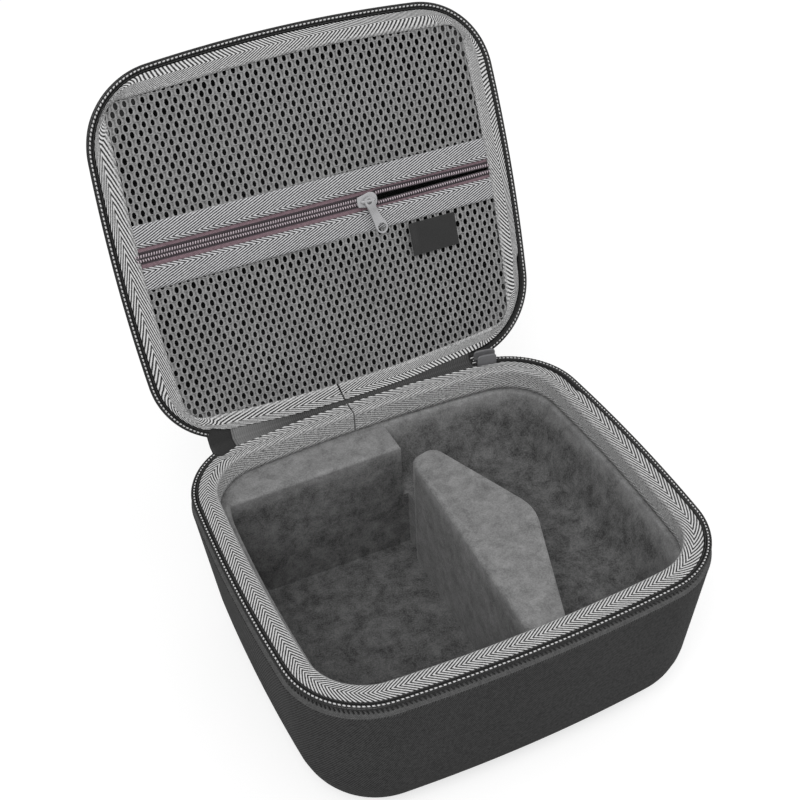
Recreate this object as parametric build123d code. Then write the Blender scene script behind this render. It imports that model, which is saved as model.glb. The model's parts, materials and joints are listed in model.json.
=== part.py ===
# Hard carrying case, lying open: a deep moulded base, a shallow lid on a cloth hinge, a zip round
# three sides, a fitted insert in the base and a zipped mesh pocket in the lid.
# Millimetres. Origin at the middle of the base's flat underside, +Z up, +Y towards the hinge.
import math
import os

from build123d import *

# Outline of the rim, along the outside of the main zip
caseWidth = 215.0
caseDepth = 194.0
sideRadius = 878.0
frontRadius = 776.0
cornerRadius = 40.7

# Shells
baseHeight = 90.0
lidHeight = 42.0
baseDraft = 0.105
lidDraft = 0.17
baseCornerLoss = 5.0
lidCornerLoss = 1.0
baseEdgeRadius = 25.0
lidEdgeRadius = 18.0
shellProud = 1.8
coverThickness = 0.6
foamThickness = 3.2
lidFoamThickness = 2.0
shellEdgeDrop = 7.5

# Main zip
zipTapeThickness = 0.6
zipTapeReach = 16.0
zipTapeTop = 0.5
coilThickness = 2.0
coilHeight = 2.6
coilGap = 0.6
runningGap = 0.3

# Twill binding round both rims
bindingThickness = 0.8
bindingDrop = 12.0
bindingInner = 12.8
bindingOuter = 4.6
rimRecess = 1.0
grooveDepth = 4.8

# Cloth hinge
openAngle = 111.1
hingeInset = 3.2
hingeSplit = 0.3
hingeCloth = 0.4
hingeLeftInset = 23.5
hingeRightInset = 43.5
lidZipInset = 27.0
ribbonLeftInset = 35.5
ribbonRightInset = 47.5
hingeBindingOuter = 7.2
hingeClothLap = 0.7

# Insert in the base
plateauDepth = 14.0
insertFloor = 3.0
cavityLip = 17.0
cavityDraft = 0.06
cavityEdgeRadius = 14.0
cavityBackY = 63.0
glassesLip = 14.0
glassesDepth = 48.0
glassesDraft = 0.35
glassesEdgeRadius = 10.0
dividerFront = (3.0, 22.0)
dividerFrontY = -78.0
dividerBulge = (46.5, -7.0)
dividerTip = ((22.0, 56.0), (7.0, 52.0))
dividerBulgeRadius = 25.0
dividerTipRadius = 7.0
plateauEdgeRadius = 2.0

# Lid lining and mesh pocket
liningThickness = 1.5
lidBindingInner = 13.0
meshThickness = 0.8
meshLap = 2.0
pocketTilt = 0.8
pocketZipY = -5.6
pocketOpening = 10.0
pocketTapeWidth = 11.0
pocketTapeLap = 3.0
pocketCoilGap = 1.4
pocketCoilWidth = 1.9
pocketCoilThickness = 1.4
labelWidth = 26.5
labelHeight = 17.0
labelThickness = 0.6
labelInset = 50.0
labelGap = 1.6

# Sliders and their pulls
sliderPlate = 0.8
postThickness = 0.8
postLength = 3.0
eyeBar = 0.45
eyeHole = 0.9
eyeOuter = 1.5
eyeWidth = 1.0
bridgeLength = 6.5
bridgeSeat = 0.1
postInset = 1.0
pullThickness = 1.0
pullNeck = 2.4
pullCorner = 2.2
pullBorder = 1.5
windowLength = 3.5
windowCorner = 1.4
pocketSliderX = 24.2
pocketSliderLength = 10.7
pocketSliderWidth = 7.6
pocketSliderCorner = 2.2
pocketPullLength = 19.0
pocketPullWidth = 6.0
pocketPullBody = 13.3
mainSliderAngle = 80.0
mainSliderLength = 12.0
mainSliderWidth = 8.6
mainPullLength = 24.0
mainPullWidth = 7.0
mainPullBody = 16.8

rimZ = baseHeight
axisY = caseDepth / 2 - hingeInset
hingeLeft = hingeLeftInset - caseWidth / 2
hingeRight = caseWidth / 2 - hingeRightInset
lidZipEnd = caseWidth / 2 - lidZipInset
ribbonLeft = ribbonLeftInset - caseWidth / 2
ribbonRight = caseWidth / 2 - ribbonRightInset
labelX = caseWidth / 2 - labelInset
far = 400.0
overcut = 1.0
touch = 0.01


def outline(inset, cornerLoss=0.0, z=0.0):
    """Closed wire of eight tangent arcs, a set distance inside the rim's outline."""
    halfW = caseWidth / 2 - inset
    halfD = caseDepth / 2 - inset
    rx = sideRadius - inset
    ry = frontRadius - inset
    r = cornerRadius - inset + cornerLoss
    cx = halfW - rx
    cy = halfD - ry
    a = rx - r
    b = ry - r
    d = math.hypot(cx, cy)
    t = (a * a - b * b + d * d) / (2 * d)
    h = math.sqrt(a * a - t * t)
    corner = (cx - t * cx / d + h * -cy / d, t * cy / d + h * -cx / d)
    sideEnd = math.atan2(corner[1], corner[0] - cx)
    frontEnd = math.atan2(corner[1] - cy, corner[0])
    mid = (sideEnd + frontEnd) / 2
    p = (cx + rx * math.cos(sideEnd), rx * math.sin(sideEnd))
    q = (ry * math.cos(frontEnd), cy + ry * math.sin(frontEnd))
    m = (corner[0] + r * math.cos(mid), corner[1] + r * math.sin(mid))
    right = [(p[0], -p[1]), (halfW, 0), p, m, q, (0, halfD)]
    left = [(-q[0], q[1]), (-m[0], m[1]), (-p[0], p[1]), (-halfW, 0), (-p[0], -p[1]), (-m[0], -m[1])]
    front = [(-q[0], -q[1]), (0, -halfD), (q[0], -q[1]), (m[0], -m[1]), (p[0], -p[1])]
    points = [Vector(x, y, z) for x, y in right + left + front]
    arcs = [ThreePointArc(*points[i:i + 3]) for i in range(0, len(points) - 1, 2)]
    return Wire(arcs), corner


def prism(inset, low, high):
    return extrude(Face(outline(inset, z=low)[0]), high - low, dir=(0, 0, 1))


def band(outer, inner, low, high):
    return prism(outer, low, high) - prism(inner, low, high)


def slab(x0, x1, y0, y1, z0, z1):
    return Pos((x0 + x1) / 2, (y0 + y1) / 2, (z0 + z1) / 2) * Box(x1 - x0, y1 - y0, z1 - z0)


def bowl(topInset, top, bottomInset, bottom, edgeRadius, cornerLoss=0.0):
    """Solid dish between two outlines, with a rounded bottom edge."""
    wires = [outline(topInset, z=top)[0], outline(bottomInset, cornerLoss, bottom)[0]]
    body = Solid.make_loft(wires, ruled=True)
    low = body.edges().group_by(Axis.Z)[0]
    return body.fillet(edgeRadius, low)


def shellBody(height, draft, edgeRadius, cornerLoss, inset):
    """Everything inside one shell, from the rim plane down, a set distance inside its outer face."""
    top = inset - shellProud
    return bowl(top, 0, top + draft * (height - inset), inset - height, edgeRadius - inset, cornerLoss)


def baseBody(inset):
    return shellBody(baseHeight, baseDraft, baseEdgeRadius, baseCornerLoss, inset)


def lidBody(inset):
    """Insets count from where the base's skin would be; the lid's own skin lies lidSkin inside that."""
    return shellBody(lidHeight + lidSkin, lidDraft, lidEdgeRadius + lidSkin, lidCornerLoss, inset)


def below(shape, z):
    return shape & slab(-far, far, -far, far, -far, z)


def between(shape, low, high):
    return shape & slab(-far, far, -far, far, low, high)


def onBase(shape):
    return Pos(0, 0, rimZ) * shape


def onLid(shape):
    """Lid pieces are drawn bowl down like the base, then turned over and opened about the hinge."""
    closed = Pos(0, 0, rimZ) * mirror(shape, about=Plane.XY)
    return closed.rotate(Axis((0, axisY, rimZ), (1, 0, 0)), -openAngle)


nodes = {}
wall = coverThickness + foamThickness
lidSkin = foamThickness - lidFoamThickness
tapeInner = wall + zipTapeThickness
clothTop = -rimRecess - bindingThickness
axisBack = axisY + hingeClothLap


def hingeZone(x0, x1, low, high):
    return slab(x0, x1, 0, far, low, high)


def shellPieces(body, skin):
    cover = below(body(skin) - body(skin + coverThickness), -shellEdgeDrop)
    foam = below(body(skin + coverThickness) - body(wall), -shellEdgeDrop)
    return cover, foam


def zipPieces(body, start, end):
    """Tape and coil round three sides; start and end are where the hinge interrupts them."""
    tape = between(body(wall) - body(tapeInner), -zipTapeReach, -zipTapeTop)
    tape = tape - hingeZone(start, end, -far, far)
    coil = band(0, coilThickness, -coilGap - coilHeight, -coilGap) - hingeZone(start, end, -far, far)
    return tape, coil


def bindingPiece(inner, drop):
    flat = band(bindingOuter, inner, clothTop, -rimRecess)
    if drop:
        flat = flat + band(inner - bindingThickness, inner, -rimRecess - drop, clothTop)
    hinge = band(0, hingeBindingOuter, clothTop, -rimRecess) & hingeZone(hingeLeft, lidZipEnd, -far, far)
    return flat - hinge


def hingePieces(body, end):
    """The half of each hinge cloth that belongs to one shell, cut at the fold line."""
    flat = band(0, hingeBindingOuter, clothTop, clothTop + hingeCloth) & slab(
        hingeLeft, end, 0, axisBack, clothTop, clothTop + hingeCloth)
    over = band(0, hingeBindingOuter, clothTop + hingeCloth, -rimRecess) & slab(
        ribbonLeft, ribbonRight, 0, axisY - hingeSplit, clothTop + hingeCloth, -rimRecess)
    drop = between(body(wall) - body(tapeInner), -zipTapeReach, clothTop)
    drop = drop & slab(hingeLeft + runningGap, end - runningGap, 0, far, -far, far)
    return flat + drop, over


def dividerPlan():
    left, right = dividerFront
    rightSide = [(right, -far), (right, dividerFrontY), dividerBulge]
    leftSide = [(left, dividerFrontY), (left, -far)]
    plan = make_face(Polyline(*rightSide, *dividerTip, *leftSide, close=True))
    bulge = plan.vertices().filter_by(lambda v: abs(v.Y - dividerBulge[1]) < touch)
    plan = fillet(bulge, dividerBulgeRadius)
    return fillet(plan.vertices().sort_by(Axis.Y)[-2:], dividerTipRadius)


def insertPiece():
    upper = between(baseBody(tapeInner), -zipTapeReach - runningGap, clothTop)
    upper = upper - band(0, bindingOuter, -grooveDepth, clothTop)
    lower = below(baseBody(wall), -zipTapeReach - runningGap)
    block = upper + lower
    block = block - prism(bindingInner - bindingThickness, -plateauDepth, 0)
    floor = wall + insertFloor - baseHeight
    top = overcut - plateauDepth
    foot = cavityLip - cavityDraft * (plateauDepth + floor)
    headset = bowl(cavityLip, top, foot, floor, cavityEdgeRadius)
    foot = glassesLip + glassesDraft * (glassesDepth - plateauDepth)
    glasses = bowl(glassesLip, top, foot, -glassesDepth, glassesEdgeRadius)
    divider = extrude(dividerPlan(), far, dir=(0, 0, -1))
    split = dividerTip[1][0]
    leftHalf = slab(-far, split + dividerFront[0], -far, cavityBackY, -far, far)
    rightHalf = slab(split, far, -far, far, -far, far)
    block = block - ((headset & leftHalf) - divider)
    block = block - ((glasses & rightHalf) - divider)
    edges = block.edges().filter_by_position(Axis.Z, -plateauDepth - touch, -plateauDepth + touch)
    inside = prism(bindingInner, -plateauDepth - overcut, -plateauDepth + overcut)
    return block.fillet(plateauEdgeRadius, [e for e in edges if inside.is_inside(e @ 0.5)])


def lidLining():
    """Thin lining of the lid with a flange that carries the mesh's edge."""
    meshBack = clothTop - meshThickness
    shell = below(lidBody(wall) - lidBody(wall + liningThickness), -zipTapeReach - runningGap)
    rise = between(lidBody(tapeInner) - lidBody(wall + liningThickness + zipTapeThickness),
                   -zipTapeReach - runningGap, -grooveDepth)
    ledge = band(bindingOuter, lidBindingInner, meshBack - liningThickness, meshBack)
    skirt = band(bindingOuter, bindingOuter + liningThickness, -grooveDepth - liningThickness, meshBack)
    foot = band(bindingOuter - liningThickness / 2, bindingOuter + liningThickness / 2,
                -grooveDepth - liningThickness, -grooveDepth)
    lining = shell + rise + ledge + skirt + foot
    sliderRoom = band(0, hingeBindingOuter, -grooveDepth - liningThickness, 0)
    return lining - (sliderRoom & hingeZone(hingeRight, lidZipEnd, -far, far))


def tiltedBar(y0, y1, z0, z1):
    bar = slab(-far, far, y0, y1, z0, z1)
    return bar.rotate(Axis((0, pocketZipY, 0), (0, 0, 1)), pocketTilt)


def pocketPieces():
    pieces = {}
    meshFront = clothTop
    meshBack = clothTop - meshThickness
    sheet = prism(lidBindingInner - meshLap, meshBack, meshFront)
    window = prism(lidBindingInner, -far, far)
    half = pocketOpening / 2
    lap = half + pocketTapeLap
    sides = {"upper": -1, "lower": 1}
    for side, way in sides.items():
        strip = sorted((pocketZipY + way * half, pocketZipY + way * (half + pocketTapeWidth)))
        pieces["pocket_tape_" + side] = window & tiltedBar(*strip, meshFront, -rimRecess)
        cut = sorted((pocketZipY + way * lap, pocketZipY + way * far))
        pieces["mesh_panel_" + side] = sheet & tiltedBar(*cut, meshBack, meshFront)
        inner = pocketZipY + way * pocketCoilGap / 2
        tape = sorted((inner, pocketZipY + way * lap))
        pieces["pocket_zip_tape_" + side] = sheet & tiltedBar(*tape, meshBack, meshFront)
        coil = sorted((inner, inner + way * pocketCoilWidth))
        pieces["pocket_coil_" + side] = prism(lidBindingInner + runningGap, -far, far) & tiltedBar(
            *coil, meshFront, meshFront + pocketCoilThickness)
    labelTop = pocketZipY + half + pocketTapeWidth + labelGap
    plate = Box(labelWidth, labelHeight, labelThickness)
    label = Pos(labelX, labelTop + labelHeight / 2, meshFront + labelThickness / 2) * plate
    pieces["label"] = label.rotate(Axis((0, pocketZipY, 0), (0, 0, 1)), pocketTilt)
    return pieces


def roundedPlate(length, width, thickness, radius):
    return extrude(RectangleRounded(length, width, radius), thickness / 2, both=True)


def bridge(length):
    """Arch on a slider's plate: a round bar along the travel, on a leg at each end."""
    height = eyeOuter + runningGap
    bar = Pos(0, 0, height) * Rot(0, 90, 0) * Cylinder(eyeBar, length)
    leg = Box(2 * eyeBar, 2 * eyeBar, height + eyeBar)
    place = length / 2 - eyeBar
    lift = (height + eyeBar) / 2
    return bar + Pos(-place, 0, lift) * leg + Pos(place, 0, lift) * leg


def pullTab(length, width, wide):
    """Pull with its eye round the bar at the origin and its flat tab along +Y, with a window at the end."""
    eye = Rot(0, 90, 0) * (Cylinder(eyeOuter, eyeWidth) - Cylinder(eyeHole, eyeWidth))
    start = (eyeHole + eyeOuter) / 2
    end = length - wide + pullCorner
    neck = Pos(0, (start + end) / 2, 0) * Rectangle(pullNeck, end - start)
    body = Pos(0, length - wide / 2, 0) * RectangleRounded(width, wide, pullCorner)
    window = RectangleRounded(width - 2 * pullBorder, windowLength, windowCorner)
    tab = neck + body - Pos(0, length - pullBorder - windowLength / 2, 0) * window
    return eye + extrude(tab, pullThickness / 2, both=True)


def pocketSlider():
    front = clothTop + pocketCoilThickness + runningGap
    back = clothTop - meshThickness - runningGap
    plate = extrude(RectangleRounded(pocketSliderLength, pocketSliderWidth, pocketSliderCorner), sliderPlate)
    reach = front - back + 2 * sliderPlate
    along = (pocketSliderLength - postLength) / 2 - postInset
    post = Pos(along, 0, (front + back) / 2) * Box(postLength, postThickness, reach)
    arch = Pos(0, 0, front + sliderPlate) * bridge(bridgeLength)
    body = Pos(0, 0, front) * plate + Pos(0, 0, back - sliderPlate) * plate + post + arch
    return body, front + sliderPlate + eyeOuter + runningGap


def arcPlate(inner, outer, low, high, length):
    """Piece of a ring about the origin, centred on +Y, whose length is taken along its outer face."""
    half = length / 2 / outer
    ends = [(far * math.sin(a), far * math.cos(a)) for a in (-half, half)]
    wedge = extrude(make_face(Polyline((0, 0), *ends, close=True)), high - low, dir=(0, 0, 1))
    ring = extrude(Circle(outer) - Circle(inner), high - low, dir=(0, 0, 1))
    return Pos(0, 0, low) * (ring & wedge)


def mainSlider():
    """Slider for the main zip, its plates bent to the corner's radius so that it can round it."""
    wide = mainSliderWidth / 2
    draft = max(baseDraft, lidDraft)
    inner = cornerRadius - (tapeInner - shellProud) - draft * wide - runningGap
    outer = cornerRadius + runningGap
    face = outer + sliderPlate - bridgeSeat
    inside = arcPlate(inner - sliderPlate, inner, -wide, wide, mainSliderLength)
    outside = arcPlate(outer, outer + sliderPlate, -wide, wide, mainSliderLength)
    thin = coilGap - runningGap
    post = arcPlate(inner - sliderPlate, outer + sliderPlate, -thin, thin, postLength)
    arch = Pos(0, face, 0) * Rot(-90, 0, 0) * bridge(bridgeLength)
    return inside + outside + post + arch, face + eyeOuter + runningGap


cornerCentre = outline(0)[1]
baseCover, baseFoam = shellPieces(baseBody, 0)
lidCover, lidFoam = shellPieces(lidBody, lidSkin)
baseTape, baseCoil = zipPieces(baseBody, hingeLeft, hingeRight)
lidTape, lidCoil = zipPieces(lidBody, hingeLeft, lidZipEnd)
baseCloth, baseRibbon = hingePieces(baseBody, hingeRight)
lidCloth, lidRibbon = hingePieces(lidBody, hingeRight)

nodes["base_cover"] = onBase(baseCover)
nodes["base_shell"] = onBase(baseFoam)
nodes["base_insert"] = onBase(insertPiece())
nodes["base_binding"] = onBase(bindingPiece(bindingInner, bindingDrop))
nodes["base_zip_tape"] = onBase(baseTape)
nodes["base_zip_coil"] = onBase(baseCoil)
nodes["hinge_cloth_base"] = onBase(baseCloth)
nodes["hinge_ribbon_base"] = onBase(baseRibbon)
nodes["lid_cover"] = onLid(lidCover)
nodes["lid_shell"] = onLid(lidFoam)
nodes["lid_liner"] = onLid(lidLining())
nodes["lid_binding"] = onLid(bindingPiece(lidBindingInner, 0))
nodes["lid_zip_tape"] = onLid(lidTape)
nodes["lid_zip_coil"] = onLid(lidCoil)
nodes["hinge_cloth_lid"] = onLid(lidCloth)
nodes["hinge_ribbon_lid"] = onLid(lidRibbon)
for name, piece in pocketPieces().items():
    nodes[name] = onLid(piece)

slider, pullHeight = pocketSlider()
place = Pos(0, pocketZipY, 0) * Rot(0, 0, pocketTilt) * Pos(pocketSliderX, 0, 0)
nodes["pocket_slider"] = onLid(place * slider)
tab = pullTab(pocketPullLength, pocketPullWidth, pocketPullBody)
nodes["pocket_pull"] = onLid(place * Pos(0, 0, pullHeight) * tab)

slider, reach = mainSlider()
turn = Pos(cornerCentre[0], cornerCentre[1], 0) * Rot(0, 0, mainSliderAngle - 90)
nodes["main_slider"] = onBase(turn * slider)
tab = Rot(-90, 0, 0) * pullTab(mainPullLength, mainPullWidth, mainPullBody)
nodes["main_pull"] = onBase(turn * Pos(0, reach, 0) * tab)

os.makedirs("parts", exist_ok=True)
for name, shape in nodes.items():
    export_step(shape, "parts/" + name + ".step")
    print(name, len(shape.solids()), round(shape.volume))
start = onLid(place * Pos(0, 0, pullHeight) * Vertex(0, 0, 0)).vertices()[0]
end = onLid(place * Pos(0, 0, pullHeight) * Vertex(1, 0, 0)).vertices()[0]
print("pocket pull turns at", Vector(start), "along", Vector(end) - Vector(start))
start = onBase(turn * Pos(0, reach, 0) * Vertex(0, 0, 0)).vertices()[0]
print("main pull turns at", Vector(start), "slider turns about", cornerCentre, "hinge at", axisY, rimZ)
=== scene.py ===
# Zipped hard case, lying open on a pale floor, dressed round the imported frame
import json
import math

import bpy
import numpy as np
from mathutils import Matrix, Vector


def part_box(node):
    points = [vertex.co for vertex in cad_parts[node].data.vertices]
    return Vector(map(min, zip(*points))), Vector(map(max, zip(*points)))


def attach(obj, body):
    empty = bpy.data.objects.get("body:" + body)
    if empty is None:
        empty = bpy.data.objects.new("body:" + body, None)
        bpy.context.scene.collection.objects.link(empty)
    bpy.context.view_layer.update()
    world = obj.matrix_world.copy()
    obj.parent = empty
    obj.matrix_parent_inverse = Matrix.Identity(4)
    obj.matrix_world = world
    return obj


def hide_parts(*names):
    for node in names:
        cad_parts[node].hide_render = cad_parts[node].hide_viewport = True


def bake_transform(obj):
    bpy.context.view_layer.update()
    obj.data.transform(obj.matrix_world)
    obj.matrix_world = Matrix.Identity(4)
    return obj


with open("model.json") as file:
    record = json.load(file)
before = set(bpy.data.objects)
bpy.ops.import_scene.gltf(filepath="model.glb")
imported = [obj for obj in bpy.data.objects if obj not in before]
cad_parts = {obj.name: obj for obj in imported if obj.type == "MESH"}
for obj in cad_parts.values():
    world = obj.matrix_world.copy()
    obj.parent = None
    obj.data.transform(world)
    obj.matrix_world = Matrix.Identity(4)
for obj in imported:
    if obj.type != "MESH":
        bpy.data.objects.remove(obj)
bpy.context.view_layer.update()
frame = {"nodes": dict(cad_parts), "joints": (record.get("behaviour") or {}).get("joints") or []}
mm = 0.001

# the rim: everything soft follows this outline, read from the frame where the frame has it
hinge = [j for j in frame["joints"] if j["name"] == "lid_hinge"][0]
coilLow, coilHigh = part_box("base_zip_coil")
rim = {
    "width": coilHigh.x - coilLow.x,
    "depth": 2 * abs(coilLow.y),
    "sideRadius": 878 * mm,
    "frontRadius": 776 * mm,
    "cornerRadius": 40.7 * mm,
    "height": hinge["pos_m"][2],
    "foldY": hinge["pos_m"][1],
    "openAngle": math.radians(hinge["range_deg"][1]),
    "hingeLeft": -84 * mm,
    "hingeRight": 64 * mm,
    "lidZipRight": 80.5 * mm,
}


def rimArcs(inset, loss):
    # nine arcs, from the middle of the back round by the left: centre x, centre y, radius, start, end
    halfW = rim["width"] / 2 - inset
    halfD = rim["depth"] / 2 - inset
    rx = rim["sideRadius"] - inset
    ry = rim["frontRadius"] - inset
    r = rim["cornerRadius"] - inset + loss
    cx = halfW - rx
    cy = halfD - ry
    d = np.hypot(cx, cy)
    t = ((rx - r) ** 2 - (ry - r) ** 2 + d * d) / (2 * d)
    h = np.sqrt((rx - r) ** 2 - t * t)
    kx = cx - t * cx / d - h * cy / d
    ky = t * cy / d - h * cx / d
    side = np.arctan2(ky, kx - cx)
    front = np.arctan2(ky - cy, kx)
    none = np.zeros_like(cx)
    half = none + math.pi / 2
    pi = math.pi
    rows = [
        (none, cy, ry, half, pi - front),
        (-kx, ky, r, pi - front, pi - side),
        (-cx, none, rx, pi - side, pi + side),
        (-kx, -ky, r, pi + side, pi + front),
        (none, -cy, ry, pi + front, 2 * pi - front),
        (kx, -ky, r, 2 * pi - front, 2 * pi - side),
        (cx, none, rx, 2 * pi - side, 2 * pi + side),
        (kx, ky, r, 2 * pi + side, 2 * pi + front),
        (none, cy, ry, 2 * pi + front, 2 * pi + half),
    ]
    return np.array([[np.broadcast_to(v, cx.shape) for v in row] for row in rows])


arcs = rimArcs(np.zeros(1), np.zeros(1))[:, :, 0]
arcLengths = arcs[:, 2] * (arcs[:, 4] - arcs[:, 3])
arcStops = np.concatenate([[0], np.cumsum(arcLengths)])
rimLength = arcStops[-1]


def rimPoints(distance, inset, loss=0.0):
    # x and y of points a set distance along the outline and a set inset inside it
    distance, inset, loss = np.broadcast_arrays(np.asarray(distance, float) % rimLength, inset, loss)
    which = np.clip(np.searchsorted(arcStops, distance, side="right") - 1, 0, 8)
    share = (distance - arcStops[which]) / arcLengths[which]
    found = rimArcs(inset, loss)
    cx, cy, r, start, end = [np.take_along_axis(found[:, i], which[None], 0)[0] for i in range(5)]
    angle = start + share * (end - start)
    return cx + r * np.cos(angle), cy + r * np.sin(angle)


def rimDistance(x, left):
    # distance along the outline of the point of the back edge with that x
    low, high = (0, rimLength / 4) if left else (rimLength * 0.75, rimLength)
    for step in range(40):
        middle = (low + high) / 2
        here = rimPoints(np.array([middle]), 0.0)[0][0]
        if here > x:
            low = middle
        else:
            high = middle
    return low


def place(x, y, z, side):
    # a point drawn bowl down in the closed case's frame, on the base or turned over on the open lid
    x, y, z = np.broadcast_arrays(x, y, z)
    if side == "base":
        return np.stack([x, y, rim["height"] + z], -1)
    c, s = math.cos(rim["openAngle"]), math.sin(rim["openAngle"])
    out = y - rim["foldY"]
    return np.stack([x, rim["foldY"] + out * c - z * s, rim["height"] - out * s - z * c], -1)


def smoothStep(t):
    t = np.clip(t, 0, 1)
    return t * t * (3 - 2 * t)


def fromCorner(stations, corner):
    # distance along the rim from the middle of one of its corners
    middle = (arcStops[corner] + arcStops[corner + 1]) / 2
    return np.abs((stations - middle + rimLength / 2) % rimLength - rimLength / 2)


def noiseWave(seed, count=7, longest=90 * mm):
    # smooth random curve along a distance, about -1 to 1
    rng = np.random.default_rng(seed)
    waves = [(2 * math.pi / (longest / (i + 1)), rng.uniform(0, 6.28), rng.uniform(0.3, 1) / (1 + i * 0.4))
             for i in range(count)]
    scale = sum(w[2] for w in waves) * 0.6
    return lambda d: sum(a * np.sin(k * d + p) for k, p, a in waves) / scale


def addPiece(name, points, faces, body, materials, replaces, uv=None, smooth=True, marks=None):
    # one visible piece; uv is metres along and across its cloth, marks the number of each face's material
    mesh = bpy.data.meshes.new(name)
    mesh.from_pydata(np.asarray(points).reshape(-1, 3).tolist(), [], [list(map(int, f)) for f in faces])
    mesh.polygons.foreach_set("use_smooth", [smooth] * len(mesh.polygons))
    if uv is not None:
        layer = mesh.uv_layers.new(name="cloth")
        loops = np.zeros(len(mesh.loops), int)
        mesh.loops.foreach_get("vertex_index", loops)
        layer.data.foreach_set("uv", np.asarray(uv, float).reshape(-1, 2)[loops].ravel())
    for m in materials:
        mesh.materials.append(m)
    if marks is not None:
        mesh.polygons.foreach_set("material_index", list(marks))
    mesh.update()
    thing = bpy.data.objects.new(name, mesh)
    bpy.context.scene.collection.objects.link(thing)
    if body:
        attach(thing, body)
    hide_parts(*replaces)
    return thing


def gridFaces(rows, columns, closed=False):
    # quads of a grid of points, whose columns may close into a tube
    wide = columns if closed else columns - 1
    i, j = np.meshgrid(np.arange(rows - 1), np.arange(wide), indexing="ij")
    k = (j + 1) % columns
    quads = np.stack([i * columns + j, (i + 1) * columns + j, (i + 1) * columns + k, i * columns + k], -1)
    return quads.reshape(-1, 4)


def endFaces(rows, columns):
    # quads for both ends of a closed thin sheet, whose columns run out on one side and back on the other
    first = np.array([[i, columns - 1 - i, columns - 2 - i, i + 1] for i in range(columns // 2 - 1)])
    return np.concatenate([first, first[:, ::-1] + (rows - 1) * columns])


def lineNormals(line):
    # unit normals of a flat polyline
    step = np.gradient(line, axis=0)
    normal = np.stack([-step[:, 1], step[:, 0]], -1)
    return normal / np.linalg.norm(normal, axis=1, keepdims=True)


def offsetLine(line, thickness):
    # closed section of a cloth: a line of (inset, z) and the same line moved by the thickness
    return np.concatenate([line, (line + lineNormals(line) * thickness)[::-1]])


def denserLine(line, step):
    # the same polyline, with more points where its parts are longer than a step
    dense = []
    for p, q in zip(line, line[1:]):
        pieces = max(1, int(np.linalg.norm(q - p) / step))
        dense += [p + (q - p) * i / pieces for i in range(pieces)]
    return np.array(dense + [line[-1]])


def roundedLine(corners, radii, steps=5):
    # polyline with its inner corners rounded
    corners = [np.array(c, float) for c in corners]
    line = [corners[0]]
    for before, corner, after, r in zip(corners, corners[1:], corners[2:], radii):
        a = before - corner
        b = after - corner
        a /= np.linalg.norm(a)
        b /= np.linalg.norm(b)
        for t in np.linspace(0, 1, steps):
            p = corner + a * r * (1 - t)
            q = corner + b * r * t
            line.append(p * (1 - t) + q * t)
    return np.array(line + [corners[-1]])


def sweepStrip(stations, section, across, side, lift=0.0, shift=0.0, loss=0.0):
    # section of (inset, z) carried along the rim; lift and shift add to z and inset at each point
    x, y = rimPoints(stations[:, None], section[:, 0] + shift, loss)
    uv = np.stack(np.broadcast_arrays(stations[:, None], across), -1)
    return place(x, y, section[:, 1] + lift, side), uv


def lengths(line):
    return np.concatenate([[0], np.cumsum(np.linalg.norm(np.diff(line, axis=0), axis=1))])


def tubeMesh(path, radius, around, first=None):
    # tube along an open path
    path = np.asarray(path)
    tangent = np.gradient(path, axis=0)
    tangent /= np.linalg.norm(tangent, axis=1, keepdims=True)
    normal = np.cross(tangent[0], first if first is not None else (0.3, 0.2, 1.0))
    frames = []
    for t in tangent:
        normal = normal - np.dot(normal, t) * t
        normal /= np.linalg.norm(normal)
        frames.append(normal)
    normal = np.array(frames)
    other = np.cross(tangent, normal)
    angle = np.linspace(0, 2 * math.pi, around, endpoint=False)
    ring = normal[:, None] * np.cos(angle)[None, :, None] + other[:, None] * np.sin(angle)[None, :, None]
    radius = np.broadcast_to(np.asarray(radius, float), (len(path),))
    points = path[:, None] + ring * radius[:, None, None]
    return points.reshape(-1, 3), gridFaces(len(path), around, closed=True)


def joinMeshes(parts):
    # several meshes as one, and for each face the number of the part it came from
    points, faces, marks = [], [], []
    count = 0
    for mark, (p, f) in enumerate(parts):
        points.append(np.reshape(p, (-1, 3)))
        faces += [[v + count for v in face] for face in (f.tolist() if isinstance(f, np.ndarray) else f)]
        marks += [mark] * len(f)
        count += len(points[-1])
    return np.concatenate(points), faces, marks


def bothSides(top, low):
    # two grids as one that runs out on one side and back on the other
    return np.concatenate([top, low[:, ::-1]], 1)


def postBox(xs, ys, zs):
    # plain block between two values of x, y and z
    points = np.array([(x, y, z) for x in xs for y in ys for z in zs])
    return points, [(0, 1, 3, 2), (4, 6, 7, 5), (0, 4, 5, 1), (2, 3, 7, 6), (0, 2, 6, 4), (1, 5, 7, 3)]


def evenLine(corners, count):
    # the same polyline with more points
    corners = np.array(corners, float)
    fine = np.linspace(0, len(corners) - 1, count)
    return np.stack([np.interp(fine, np.arange(len(corners)), c) for c in corners.T], -1)


# materials, named for the real ones; their patterns' sizes are real millimetres unless a comment says so
def linear(hexColour):
    parts = [int(hexColour[i:i + 2], 16) / 255 for i in (1, 3, 5)]
    return tuple(p / 12.92 if p <= 0.04045 else ((p + 0.055) / 1.055) ** 2.4 for p in parts) + (1.0,)


def addNode(tree, kind, links=(), **settings):
    # one node with its settings; links gives its inputs values, nodes or outputs, in order or by name
    node = tree.nodes.new("ShaderNode" + kind)
    for key, value in settings.items():
        setattr(node, key, value)
    for key, value in links.items() if isinstance(links, dict) else enumerate(links):
        if isinstance(value, bpy.types.Node):
            value = value.outputs[0]
        if isinstance(value, bpy.types.NodeSocket):
            tree.links.new(value, node.inputs[key])
        else:
            node.inputs[key].default_value = value
    return node


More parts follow.
